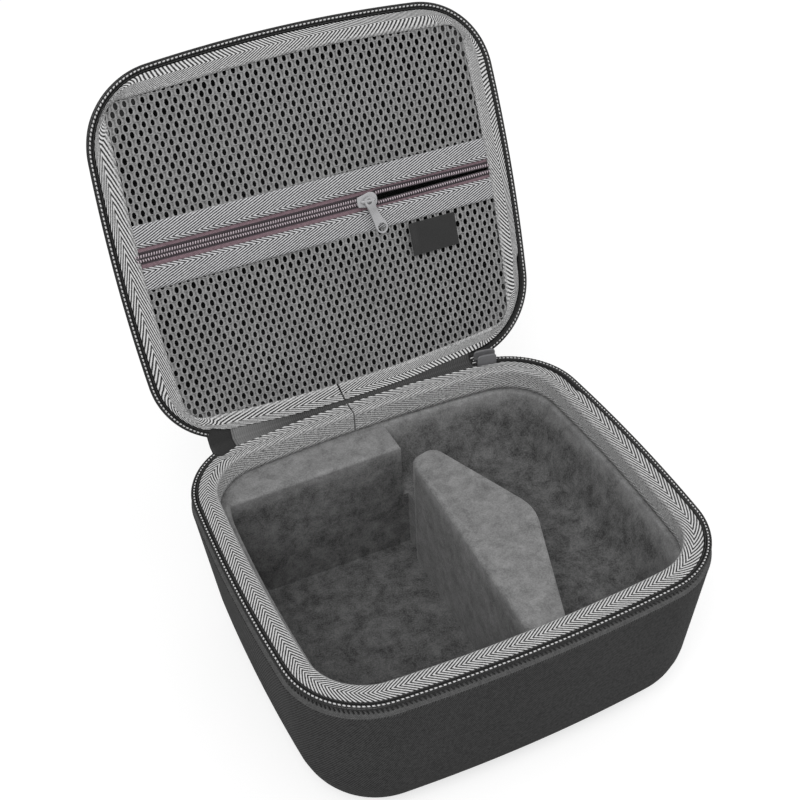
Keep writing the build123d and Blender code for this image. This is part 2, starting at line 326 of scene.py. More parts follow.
def newMaterial(name):
    # an empty material, its node tree, and the place in the piece's own space, in metres
    material = bpy.data.materials.new(name)
    material.use_nodes = True
    tree = material.node_tree
    tree.nodes.clear()
    return material, tree, addNode(tree, "TexCoord").outputs["Object"]


def finishMaterial(material, tree, share, light, dark, height, depth, strength, finish):
    # what all of them end with: a colour from dark to light, a relief, and the surface's own values
    tones = {"Factor": share, 6: linear(dark), 7: linear(light)}
    colour = addNode(tree, "Mix", tones, data_type="RGBA", clamp_factor=True).outputs[2]
    relief = addNode(tree, "Bump", {"Height": height, "Distance": depth, "Strength": strength})
    shader = addNode(tree, "BsdfPrincipled", {"Base Color": colour, "Normal": relief, **finish})
    addNode(tree, "OutputMaterial", {"Surface": shader})
    return material


def threadCoordinates(tree):
    # millimetres along and across the cloth
    split = addNode(tree, "SeparateXYZ", (addNode(tree, "UVMap", uv_map="cloth"),))
    return [addNode(tree, "Math", (split.outputs[i], 1000), operation="MULTIPLY") for i in (0, 1)]


def ribWave(tree, distance, gap):
    # ridges a gap apart along a distance, from -1 to 1
    angle = addNode(tree, "Math", (distance, 2 * math.pi / gap), operation="MULTIPLY")
    return addNode(tree, "Math", (angle,), operation="SINE")


def herringboneTape(name, apex, column, selvage, lineGap, light, dark):
    # polyester herringbone tape, woven: bright raised warp lines in a chevron, dull dark gaps, dry surface.
    # the real lines are about 0.6 mm apart, drawn two to three times as coarse so that they show;
    # the first coordinate is already drawn out by how steep the lines lie at each place
    material, tree, where = newMaterial(name)
    along, across = threadCoordinates(tree)
    fromApex = addNode(tree, "Math", (across, column * 40 - apex), operation="ADD")
    fold = addNode(tree, "Math", (fromApex, column), operation="PINGPONG")
    drift = addNode(tree, "TexNoise", {"Vector": where, "Scale": 1 / (11.1 * mm), "Detail": 2.0})
    shifted = addNode(tree, "Math", (drift, 0.5, along), operation="MULTIPLY_ADD")
    phase = addNode(tree, "Math", (fold, 0.92, shifted), operation="MULTIPLY_ADD")
    fine = addNode(tree, "TexNoise", {"Vector": where, "Scale": 1 / (0.667 * mm), "Detail": 2.0})
    rough = addNode(tree, "Math", (fine, 1.7, -0.85), operation="MULTIPLY_ADD")
    # the plain edge beside the mesh is fuzzier than the chevrons
    plain = addNode(tree, "MapRange", (across, selvage - 0.8, selvage + 0.6, 1.0, 0.3))
    height = addNode(tree, "Math", (ribWave(tree, phase, lineGap), plain, rough), operation="MULTIPLY_ADD")
    share = addNode(tree, "MapRange", (height, -0.85, 0.75), interpolation_type="SMOOTHSTEP")
    finish = {"Roughness": 0.82, "Sheen Weight": 0.1}
    return finishMaterial(material, tree, share, light, dark, share, 0.25 * mm, 1.0, finish)


def velourPile(name, light, dark):
    # brushed velour bonded to foam: short pile that lies in patches, so it is mottled and soft at the edges
    material, tree, where = newMaterial(name)
    patches = addNode(tree, "TexNoise", {"Vector": where, "Scale": 1 / (8.33 * mm), "Detail": 5.0,
                                         "Roughness": 0.72, "Distortion": 0.3})
    pile = addNode(tree, "TexNoise", {"Vector": where, "Scale": 1 / (0.77 * mm), "Detail": 2.0})
    mottle = addNode(tree, "MapRange", (patches, 0.28, 0.72))
    speck = addNode(tree, "Math", (pile, 1.3, -0.65), operation="MULTIPLY_ADD")
    coat = addNode(tree, "Math", (mottle, speck), operation="ADD")
    # painted light: the pile on the plateau is drawn lighter than on the deep floors, which stand in painted
    # shade
    above = addNode(tree, "SeparateXYZ", (where,)).outputs[2]
    plateauLightMask = addNode(tree, "MapRange", (above, 66 * mm, 75 * mm))
    plateauPaintedLight = addNode(tree, "Math", (plateauLightMask, 0.38), operation="MULTIPLY")
    share = addNode(tree, "Math", (coat, 0.62, plateauPaintedLight), operation="MULTIPLY_ADD")
    tufts = addNode(tree, "Math", (pile, 0.5), operation="MULTIPLY")
    height = addNode(tree, "Math", (patches, 0.6, tufts), operation="MULTIPLY_ADD")
    finish = {"Roughness": 0.95, "Sheen Weight": 0.25, "Sheen Roughness": 0.4}
    return finishMaterial(material, tree, share, light, dark, height, 0.5 * mm, 0.7, finish)


def wovenShellCloth(name, light, dark):
    # polyester twill glued over foam: fine steep diagonal lines, charcoal, dry
    material, tree, where = newMaterial(name)
    along, across = threadCoordinates(tree)
    lineGap = 1.3  # the real cloth's lines are about 0.5 mm apart, drawn coarser so that they show
    weftGap = 0.7
    phase = addNode(tree, "Math", (across, 0.72, along), operation="MULTIPLY_ADD")
    weft = addNode(tree, "Math", (ribWave(tree, across, weftGap), 0.16), operation="MULTIPLY")
    height = addNode(tree, "Math", (ribWave(tree, phase, lineGap), 0.5, weft), operation="MULTIPLY_ADD")
    fine = addNode(tree, "TexNoise", {"Vector": where, "Scale": 1 / (1.43 * mm), "Detail": 3.0})
    broad = addNode(tree, "TexNoise", {"Vector": where, "Scale": 1 / (71 * mm), "Detail": 3.0})
    # the lines, fine specks and broad uneven patches together, about 0.5 on average
    share = addNode(tree, "Math", (height, 0.8, -0.395), operation="MULTIPLY_ADD")
    share = addNode(tree, "Math", (fine, 1.44, share), operation="MULTIPLY_ADD")
    share = addNode(tree, "Math", (broad, 0.35, share), operation="MULTIPLY_ADD")
    return finishMaterial(material, tree, share, light, dark, height, 0.12 * mm, 0.8, {"Roughness": 0.92})


def zipTapeCloth(name, light, dark):
    # woven polyester zip tape: close cords along the tape, matt
    material, tree, where = newMaterial(name)
    along, across = threadCoordinates(tree)
    cordGap, pickGap = 0.9, 0.99
    cords, picks = ribWave(tree, across, cordGap), ribWave(tree, along, pickGap)
    height = addNode(tree, "Math", (cords, picks), operation="MULTIPLY")
    fine = addNode(tree, "TexNoise", {"Vector": where, "Scale": 1 / (1.25 * mm), "Detail": 2.0})
    share = addNode(tree, "Math", (height, 0.3, fine), operation="MULTIPLY_ADD")
    finish = {"Roughness": 0.85, "Sheen Weight": 0.1}
    return finishMaterial(material, tree, share, light, dark, height, 0.12 * mm, 0.8, finish)


def plainCloth(name, light, dark, threadGap):
    # plain-woven or knitted polyester, dyed: dull, fine-grained, a little uneven from place to place
    material, tree, where = newMaterial(name)
    weave = addNode(tree, "TexNoise", {"Vector": where, "Scale": 1 / (threadGap * mm), "Detail": 2.0})
    broad = addNode(tree, "TexNoise", {"Vector": where, "Scale": 1 / (33.3 * mm), "Detail": 3.0})
    uneven = addNode(tree, "Math", (broad, 0.3), operation="MULTIPLY")
    share = addNode(tree, "Math", (weave, 0.7, uneven), operation="MULTIPLY_ADD")
    finish = {"Roughness": 0.9, "Sheen Weight": 0.15}
    return finishMaterial(material, tree, share, light, dark, weave, 0.2 * mm, 0.8, finish)


def ribbedCloth(name, light, dark):
    # grosgrain ribbon, woven: ribs across its length, satin highlights on each rib
    material, tree, where = newMaterial(name)
    along, across = threadCoordinates(tree)
    ribs = ribWave(tree, along, 1.1)
    # the left end is rubbed paler
    worn = addNode(tree, "MapRange", (along, -72.0, -36.0, 0.67, 0.12))
    share = addNode(tree, "Math", (ribs, 0.07, worn), operation="MULTIPLY_ADD")
    return finishMaterial(material, tree, share, light, dark, ribs, 0.15 * mm, 0.8, {"Roughness": 0.7})


def drawnNylon(name, light, dark, roughness):
    # nylon 66 monofilament, drawn and heat set: smooth with a small sharp highlight on each turn
    material, tree, where = newMaterial(name)
    streaks = addNode(tree, "TexNoise", {"Vector": where, "Scale": 1 / (2 * mm), "Detail": 2.0})
    finish = {"Roughness": roughness, "IOR": 1.53}
    return finishMaterial(material, tree, streaks, light, dark, streaks, 0.05 * mm, 0.5, finish)


def knittedMesh(name, light, dark):
    # polyester spacer mesh, warp knitted: painted highlight along the threads round each hole, painted shade
    # down in the holes and behind, dull between them
    material, tree, where = newMaterial(name)
    threads = addNode(tree, "TexNoise", {"Vector": where, "Scale": 1 / (0.91 * mm), "Detail": 3.0})
    # painted highlight and painted shade, read from a point attribute set ring by ring
    crest = addNode(tree, "Attribute", attribute_name="crest", attribute_type="GEOMETRY").outputs["Fac"]
    frayed = addNode(tree, "Math", (threads, 1.1, -0.462), operation="MULTIPLY_ADD")
    share = addNode(tree, "Math", (crest, 0.75, frayed), operation="MULTIPLY_ADD")
    finish = {"Roughness": 0.8, "Sheen Weight": 0.1}
    return finishMaterial(material, tree, share, light, dark, threads, 0.15 * mm, 0.8, finish)


def lacqueredZinc(name, light, dark):
    # die-cast zinc, tumbled and lacquered matt grey: smooth, soft highlights, faintly uneven
    material, tree, where = newMaterial(name)
    pits = addNode(tree, "TexNoise", {"Vector": where, "Scale": 1 / (3.85 * mm), "Detail": 4.0})
    finish = {"Metallic": 0.35, "Roughness": 0.38}
    return finishMaterial(material, tree, pits, light, dark, pits, 0.08 * mm, 0.5, finish)


def closedCellFoam(name, light, dark):
    # moulded EVA foam: matt, faintly pitted
    material, tree, where = newMaterial(name)
    cells = addNode(tree, "TexVoronoi", {"Vector": where, "Scale": 1 / (1.11 * mm)})
    return finishMaterial(material, tree, cells, light, dark, cells, 0.1 * mm, 0.6, {"Roughness": 0.9})


twillLid = herringboneTape("herringbonePolyesterLid", 4.4, 6.6, 8.6, 1.12, "#dcdcdc", "#161616")
twillBase = herringboneTape("herringbonePolyesterBase", 5.2, 6.6, 8.8, 1.3, "#d2d2d2", "#121212")
twillPocket = herringboneTape("herringbonePolyesterPocket", 1.8, 9.6, 10.6, 1.12, "#d4d4d6", "#1c1c20")
velour = velourPile("brushedVelour", "#8e8e8e", "#363636")
shellCloth = wovenShellCloth("wovenPolyesterTwill", "#444444", "#121212")
blackTape = zipTapeCloth("blackWovenZipTape", "#262626", "#101010")
greyTape = zipTapeCloth("greyWovenZipTape", "#686868", "#3a3a3a")
mauveTape = zipTapeCloth("mauveWovenZipTape", "#937a82", "#604d54")
blackNylon = drawnNylon("blackNylonCoil", "#141414", "#070707", 0.34)
mauveNylon = drawnNylon("mauveNylonCoil", "#cec0c7", "#b4a7ad", 0.35)
# a real filler cord, drawn near white as a painted highlight between the main coil's black loops
cordWithPaintedGlint = plainCloth("palePolyesterCord", "#ececec", "#c4c4c4", 0.5)
# painted shade: a dark mauve for the groove beside the pocket coil, the twill tape's edge, and the shade
# between the coil's loops
mauvePaintedShade = plainCloth("darkMauveCord", "#4a4046", "#2a2428", 0.5)
hingeCloth = plainCloth("blackPlainWeave", "#303030", "#161616", 0.8)
ribbonCloth = ribbedCloth("greyGrosgrain", "#8c8c8c", "#282828")
meshCloth = knittedMesh("knittedSpacerMesh", "#a6a6a6", "#404040")
# partly the lining's own dark colour, partly painted shade: drawn near black so that the lid's cavity behind
# the mesh holes reads as shade
liningWithPaintedShade = plainCloth("blackKnitLining", "#1c1c1c", "#0e0e0e", 0.9)
paleCutEdge = plainCloth("paleCutEdge", "#a8a8a8", "#808080", 0.5)
labelCloth = plainCloth("coatedLabelCloth", "#303030", "#222222", 0.7)
greyZinc = lacqueredZinc("greyLacqueredZinc", "#858587", "#757577")
zinc = lacqueredZinc("lacqueredZinc", "#c2c2c4", "#ababad")
foam = closedCellFoam("mouldedEvaFoam", "#343434", "#2a2a2a")
print("materials ready")

# camera, placed by the rim's outline in the picture
camera = {
    "place": (-204.41 * mm, -419.53 * mm, 536.43 * mm),
    "azimuth": -23.792,
    "elevation": 39.196,
    "roll": -2.749,
    "lens": 61.05,
    "shift": -0.0012,
}
azimuth, elevation, roll = [math.radians(camera[k]) for k in ("azimuth", "elevation", "roll")]
flat = math.cos(elevation)
back = Vector((math.sin(azimuth) * flat, -math.cos(azimuth) * flat, math.sin(elevation)))
level = (-back).cross(Vector((0, 0, 1))).normalized()
upright = level.cross(-back)
right = math.cos(roll) * level + math.sin(roll) * upright
above = -math.sin(roll) * level + math.cos(roll) * upright
lensData = bpy.data.cameras.new("camera")
lensData.lens = camera["lens"]
lensData.sensor_width = 36
lensData.shift_x = camera["shift"]
cameraThing = bpy.data.objects.new("camera", lensData)
bpy.context.scene.collection.objects.link(cameraThing)
turned = Matrix((right, above, back)).transposed().to_4x4()
cameraThing.matrix_world = Matrix.Translation(camera["place"]) @ turned
bpy.context.scene.camera = cameraThing

# shells: woven cloth wrapped over the foam's edge, down the wall, round the bottom edge and across
shells = {
    "base": {"height": 90 * mm, "draft": 0.105, "loss": 5 * mm, "edge": 25 * mm, "proud": 1.8 * mm},
    "lid": {"height": 42 * mm, "draft": 0.17, "loss": 1 * mm, "edge": 18 * mm, "proud": 0.6 * mm},
    "drop": 7.5 * mm,  # from the rim down to the cloth's edge
    "lip": 0.9 * mm,
    "step": 2.0 * mm,
}


def shellCover(side):
    s = shells[side]
    drop, lip, edge = shells["drop"], shells["lip"], s["edge"]
    stations = np.linspace(0, rimLength, int(rimLength / shells["step"]) + 1)

    def wallInset(z):
        return -s["proud"] - s["draft"] * z

    # rings of (inset, z): the lip, the wall, the rounded bottom edge
    top = wallInset(-drop)
    rings = [(top + 3.0 * mm, 0.1 * mm - drop), (top + 1.6 * mm, 0.25 * mm - drop)]
    for a in np.linspace(0, math.pi / 2, 5):
        rings.append((top + lip * (1 - math.sin(a)), 0.95 * mm * math.cos(a) - 0.7 * mm - drop))
    rings.append((wallInset(-drop - 1.6 * mm), -drop - 1.6 * mm))
    foot = s["height"] - edge
    rings += [(wallInset(z), z) for z in np.linspace(-drop - 4 * mm, -foot, 10)]
    for a in np.linspace(0, math.pi / 2, 11)[1:]:
        z = -foot - edge * math.sin(a)
        rings.append((wallInset(z) + edge * (1 - math.cos(a)), z))
    rings = np.array(rings)
    loss = s["loss"] * -rings[:, 1] / s["height"]
    x, y = rimPoints(stations[:, None], rings[None, :, 0], loss[None])
    wall = np.stack(np.broadcast_arrays(stations[:, None], lengths(rings)[None]), -1)
    # flat bottom: rings that shrink to the middle, mapped flat
    shrink = np.linspace(1, 0, 8)
    bottom = np.stack([x[:, -1:] * shrink, y[:, -1:] * shrink], -1)
    parts = [
        (place(x, y, rings[:, 1], side), gridFaces(*x.shape)),
        (place(bottom[..., 0], bottom[..., 1], -s["height"], side), gridFaces(*bottom.shape[:2])),
    ]
    if side == "base":
        parts = [(p, f[:, ::-1]) for p, f in parts]
    points, faces, marks = joinMeshes(parts)
    uv = np.concatenate([wall.reshape(-1, 2), bottom.reshape(-1, 2)])
    addPiece(side + "Cover", points, faces, side, [shellCloth], [side + "_cover"], uv)


for side in ("base", "lid"):
    shellCover(side)
print("shells covered")

# coils of the main zip: a bent monofilament round a cord, sewn to the tape
mainCoil = {
    "pitch": 2.1 * mm,
    "wire": 0.40 * mm,
    "wide": 1.0 * mm,
    "tall": 1.0 * mm,
    "inset": 1.1 * mm,
    "z": -1.95 * mm,
    "cord": 0.4 * mm,
    "cordIn": 0.15 * mm,
    "cordZ": -1.5 * mm,
    "side": 0.65 * mm,
    "sideOut": 0.75 * mm,
    "sideZ": -1.8 * mm,
    "slant": 0.12,  # share of the pitch that a turn slants
    "steps": 14,
}


def mainCoilPiece(side, start, end):
    c = mainCoil
    turns = int((end - start) / c["pitch"])
    t = np.arange(turns * c["steps"] + 1) / c["steps"]
    # each turn stands square across the zip and slants back on its inner side
    angle = 2 * math.pi * t
    along = start + (t + c["slant"] * np.sin(angle)) * c["pitch"]
    x, y = rimPoints(along, c["inset"] + c["wide"] * np.cos(angle))
    z = c["z"] + c["tall"] * np.sin(angle)
    parts = [tubeMesh(place(x, y, z, side), c["wire"], 6)]
    # the legs of the loops fill both sides, and the cord shows between the loops, drawn near white as a
    # painted highlight between them
    line = np.arange(start, end, 1.5 * mm)
    for away, z, radius in ((-c["sideOut"], c["sideZ"], c["side"]), (c["sideOut"], c["sideZ"], c["side"]),
                            (c["cordIn"], c["cordZ"], c["cord"])):
        x, y = rimPoints(line, c["inset"] + away)
        parts.append(tubeMesh(place(x, y, z, side), radius, 8))
    points, faces, marks = joinMeshes(parts)
    marks = [int(m == len(parts) - 1) for m in marks]
    addPiece(side + "ZipCoil", points, faces, side, [blackNylon, cordWithPaintedGlint],
             [side + "_zip_coil"], marks=marks)


# tapes of the main zip: up behind the coil, out over the foam's edge, with a row of loops sewn over them
mainTape = {
    "thickness": 0.5 * mm,
    "corners": [(2.45, -0.9), (2.4, -3.6), (1.3, -5.9), (0.35, -6.9), (-0.6, -7.1), (-0.5, -7.7)],  # in mm
    "bends": [1.2 * mm, 0.5 * mm, 0.4 * mm, 0.15 * mm],
    "greyBelow": -4.2 * mm,
    "stitch": 2.1 * mm,
    "thread": 0.36 * mm,
    "loop": 2.0 * mm,
    "loopInset": 1.45 * mm,
    "loopZ": -4.9 * mm,
    "loopDip": 0.28 * mm,
    "loopLean": (0.7, 0.5),  # along the tape and across it, in shares of its fall
}


def mainTapePiece(side, start, end):
    m = mainTape
    stations = np.arange(start, end, 2 * mm)
    corners = np.array(m["corners"]) * mm
    corners[3:, 0] += shells["base"]["proud"] - shells[side]["proud"]
    section = offsetLine(roundedLine(corners, m["bends"], steps=4), m["thickness"])
    points, uv = sweepStrip(stations, section, lengths(section), side)
    faces = gridFaces(len(stations), len(section), closed=True)
    column = np.tile(np.arange(len(section)), len(stations) - 1)
    grey = section[column, 1] < m["greyBelow"]
    # each loop leans across the tape and dips into it at both ends
    t = np.linspace(-0.5, 0.5, 6)
    fall = -t * m["loop"]
    leanAlong, leanAcross = m["loopLean"]
    inset = m["loopInset"] + leanAcross * fall - m["loopDip"] * np.cos(math.pi * t)
    parts = [(points, faces)]
    for s in np.arange(start + 1 * mm, end - 1 * mm, m["stitch"]):
        x, y = rimPoints(s - leanAlong * fall, inset)
        parts.append(tubeMesh(place(x, y, m["loopZ"] + fall, side), m["thread"], 5))
    points, allFaces, marks = joinMeshes(parts)
    marks = [int(k) for k in grey] + [2] * (len(allFaces) - len(faces))
    allUv = np.zeros((len(points), 2))
    allUv[:uv.size // 2] = uv.reshape(-1, 2)
    addPiece(side + "ZipTape", points, allFaces, side, [blackTape, greyTape, blackNylon],
             [side + "_zip_tape"], allUv, marks=marks)


leftEnd = rimDistance(rim["hingeLeft"], True)
for zipPiece in (mainCoilPiece, mainTapePiece):
    for side, past in (("base", 0.0), ("lid", 0.5 * mm)):
        zipPiece(side, leftEnd, rimDistance(rim["hingeRight"] + past, False))
print("main zip coiled and taped")

# twill binding over both rims, with its butt seam near the hinge
binding = {
    "thickness": 0.7 * mm,
    "corners": {"base": [(3.6, -2.0), (3.35, -1.05), (12.75, -0.95), (12.75, -12.8)],  # inset and z, in mm
                "lid": [(3.6, -1.9), (3.35, -1.05), (9.0, -0.85), (13.2, -1.35)]},
    "bends": {"base": [0.55 * mm, 1.8 * mm], "lid": [0.55 * mm, 2.5 * mm]},
    "outer": 3.35 * mm,
    "inner": {"base": 12.75 * mm, "lid": 13.2 * mm},
    "sliderOuter": 4.75 * mm,
    "hingeOuter": {"base": 4.9 * mm, "lid": 4.0 * mm},
    "hingeEndOuter": {"base": 5.8 * mm, "lid": 4.8 * mm},
    "hingeLip": {"base": 1.3 * mm, "lid": 0.6 * mm},
    "lidSharpen": -17 * mm,  # makes the lid's inner corners sharper than the rim's
    "lidNarrow": {3: 3.2 * mm, 5: 1.4 * mm},
    "seamX": {"base": -9.0 * mm, "lid": -9.3 * mm},
    "seamGap": 0.75 * mm,
    "step": 1.5 * mm,
    "puff": 0.07 * mm,
    "ripple": 0.10 * mm,
    "steepness": 0.56,  # share of a step along the tape that counts for its chevrons
    "drawnOut": {"base": 0.24, "lid": 0.27},  # less of it where they lie flatter
}


def bindingEdges(stations, side):
    # the binding's outer and inner edge, and how much its inner corners are sharpened
    b = binding
    x, y = rimPoints(stations, 0.0)
    # it's set in beside the main slider and along the hinge, there most at both ends
    sliderZone = smoothStep((arcLengths[7] / 2 + 13 * mm - fromCorner(stations, 7)) / (5 * mm))
    outer = b["outer"] + (b["sliderOuter"] - b["outer"]) * sliderZone
    inZone = smoothStep((x - rim["hingeLeft"] + 2 * mm) / (4 * mm)) * (y > 0)
    inZone = inZone * smoothStep((rim["lidZipRight"] + 1 * mm - x) / (4 * mm))
    middleShare = smoothStep((x + 66 * mm) / (30 * mm)) * smoothStep((48 * mm - x) / (20 * mm))
    end = b["hingeEndOuter"][side]
    outer = outer + (end + (b["hingeOuter"][side] - end) * middleShare - outer) * inZone
    inner = np.full_like(x, b["inner"][side])
    if side == "base":
        return outer, inner, np.zeros_like(x)
    for corner, narrow in b["lidNarrow"].items():
        inner = inner - narrow * smoothStep(1 - fromCorner(stations, corner) / (60 * mm))
    return outer, inner, np.full_like(x, b["lidSharpen"])


def lineSteepness(stations, side):
    # smaller where the chevrons are drawn out: the lid's left and back, the base's back and right
    x, y = rimPoints(stations, 0.0)
    if side == "lid":
        beside = smoothStep((-x - 60 * mm) / (35 * mm))
        back = smoothStep((y - 70 * mm) / (20 * mm)) * smoothStep((20 * mm - x) / (40 * mm))
    else:
        beside = smoothStep((x - 60 * mm) / (35 * mm))
        back = smoothStep((y - 60 * mm) / (30 * mm))
    return binding["steepness"] - binding["drawnOut"][side] * np.maximum(beside, back)


def bindingPiece(side):
    b = binding
    seam = rimDistance(b["seamX"][side], True)
    stations = seam + np.linspace(b["seamGap"], rimLength - 0.1 * mm, int(rimLength / b["step"]))
    line = denserLine(roundedLine(np.array(b["corners"][side]) * mm, b["bends"][side], steps=6), 1.6 * mm)
    section = offsetLine(line, -b["thickness"])
    across = np.concatenate([lengths(line), lengths(line)[::-1]])
    outer, inner, sharpen = bindingEdges(stations, side)
    share = (section[:, 0] - b["outer"]) / (b["inner"][side] - b["outer"])
    shift = outer[:, None] + (inner - outer)[:, None] * share - section[:, 0]
    edge = np.clip(share, 0, 1)
    # the sewn edge is puffed up a little and the inner edge ripples
    puff = noiseWave(3 if side == "base" else 4)(stations)[:, None] * b["puff"]
    ripple = noiseWave(8, 9, 40 * mm)(stations)[:, None] * b["ripple"]
    lift = puff * (1 - edge) + ripple * edge
    # at the hinge its outer edge lies on the ribbon and isn't turned down
    x, y = rimPoints(stations, 0.0)
    atRight = smoothStep((rim["hingeRight"] + 6 * mm - x) / (8 * mm))
    atHinge = atRight * smoothStep((x - rim["hingeLeft"]) / (8 * mm)) * (y > 0)
    lift = lift + atHinge[:, None] * np.clip(1 - share * 10, 0, 1) * b["hingeLip"][side]
    points, uv = sweepStrip(stations, section, across, side, lift, shift, sharpen[:, None] * edge)
    drawn = np.concatenate([[0], np.cumsum(np.diff(stations) * lineSteepness(stations, side)[1:])])
    uv[..., 0] = drawn[:, None] * (1 if side == "lid" else -1)
    faces = gridFaces(len(stations), len(section), closed=True)
    material = twillLid
    if side == "base":
        faces, material = faces[:, ::-1], twillBase
    addPiece(side + "Binding", points, faces, side, [material], [side + "_binding"], uv)


for side in ("base", "lid"):
    bindingPiece(side)
print("rims bound")

# the pocket in the lid: two mesh panels, twill tapes beside the zip, the mauve zip itself
pocket = {
    "tilt": math.radians(0.8),
    "zipY": -5.6 * mm,
    "half": 5.0 * mm,
    "tapeWidth": 11.0 * mm,
    "tapeZ": (-1.1 * mm, -1.75 * mm),  # front and back of the twill tapes
    "tapePuff": 0.25 * mm,
    "tapeWave": 0.08 * mm,
    "tapeDip": 0.75 * mm,
    "zipTapeZ": (-1.95 * mm, -2.4 * mm),
    "zipTapeDip": 0.3 * mm,
    "zipTapeInner": 1.5 * mm,
    "zipTapeUnder": 3.0 * mm,
    "pitchX": 4.35 * mm,
    "pitchY": 3.65 * mm,
    "holeX": 1.02 * mm,
    "holeY": 1.55 * mm,
    "underBinding": 1.8 * mm,
    "meshZ": -2.2 * mm,
    "meshThickness": 0.7 * mm,
    "cellsFrom": 9.5 * mm,
    "hang": 0.6 * mm,
    "ripple": {-1: 0.5 * mm, 1: 0.9 * mm},
    "stripHalf": 99 * mm,
    "dipFrom": 91 * mm,
    "dipOver": 4 * mm,
    "sliderX": 24.2 * mm,
    "gape": 1.6 * mm,  # of each side just right of the slider
    "gapeLoss": 1.0 * mm,
    "gapeEnd": 95 * mm,
    "drawn": 0.39,  # how steep the twill's lines lie on these tapes
    "flat": {-1: (200 * mm, 76 * mm), 1: (200 * mm, 88 * mm)},
    "area": {-1: 0.0100, 1: 0.0120},
}


def insetOf(x, y):
    # how far inside the outline a point lies, well enough for the cloth's ripples
    best = np.full(np.shape(x), 1.0)
    rx, ry = rimPoints(np.linspace(0, rimLength, 720, endpoint=False), 0.0)
    for i in range(0, len(rx), 60):
        best = np.minimum(best, np.hypot(x[..., None] - rx[i:i + 60], y[..., None] - ry[i:i + 60]).min(-1))
    return best


def zipFrame(along, out):
    # along the tilted pocket zip and square to it
    c, s = math.cos(pocket["tilt"]), math.sin(pocket["tilt"])
    return along * c - out * s, pocket["zipY"] + along * s + out * c


def insidePolygon(x, y, px, py):
    # whether points lie inside a closed line
    found = np.zeros(np.shape(x), bool)
    for x0, y0, x1, y1 in zip(px, py, np.roll(px, -1), np.roll(py, -1)):
        if y0 != y1:
            found ^= ((y0 > y) != (y1 > y)) & (x < (x1 - x0) * (y - y0) / (y1 - y0) + x0)
    return found


def meshRipple(x, y, way):
    # the lower panel hangs a little loose
    edge = np.clip((insetOf(x, y) - 13 * mm) / (14 * mm), 0, 1)
    near = np.clip((np.abs(y - pocket["zipY"]) - 12 * mm) / (10 * mm), 0, 1)
    wave = np.sin(x / (17 * mm) + y / (23 * mm)) + 0.9 * np.sin(x / (8.5 * mm) - y / (12 * mm) + 1.1)
    return -(pocket["hang"] + pocket["ripple"][way] * wave) * smoothStep(edge) * near


def meshCells(way):
    # middles of one panel's holes, in staggered rows inside the binding and clear of the zip
    p = pocket
    columns = int(rim["width"] / p["pitchX"]) + 2
    rows = int(rim["depth"] / p["pitchY"]) + 2
    i, j = [np.arange(-n // 2, n // 2 + 1) for n in (columns, rows)]
    i, j = np.meshgrid(i, j, indexing="ij")
    cx = (i + 0.5 * (j % 2)) * p["pitchX"]
    cy = j * p["pitchY"] + p["zipY"]
    around = np.linspace(0, rimLength, 400, endpoint=False)
    outer, inner, sharpen = bindingEdges(around, "lid")
    edgeX, edgeY = rimPoints(around, inner - p["underBinding"], sharpen)
    off = (cy - p["zipY"] - cx * math.tan(p["tilt"])) * way
    keep = insidePolygon(cx, cy, edgeX, edgeY) & (off > p["cellsFrom"])
    return cx[keep], cy[keep]


def cellRings():
    # twelve stops round a cell's border and round its hole, from the front's border over the thread's top
    # into the hole and back: shape, height in shares of the thickness, and a painted brightness: painted
    # highlight on the thread's top, painted shade in the hole and on the back
    border = np.array([(1, 0), (1, 1), (0.5, 1), (0, 1), (-0.5, 1), (-1, 1),
                       (-1, 0), (-1, -1), (-0.5, -1), (0, -1), (0.5, -1), (1, -1)])
    angle = np.arctan2(border[:, 1], border[:, 0])
    border = border * (pocket["pitchX"] / 2, pocket["pitchY"] / 2)
    hole = np.stack([np.cos(angle) * pocket["holeX"], np.sin(angle) * pocket["holeY"]], -1)
    return [
        (border, 0.10, 0.15),
        (hole * 1.28, 0.5, 1.0),
        (hole, 0.05, 0.35),
        (hole * 1.12, -0.42, 0.0),
        (border, -0.4, 0.0),
    ]


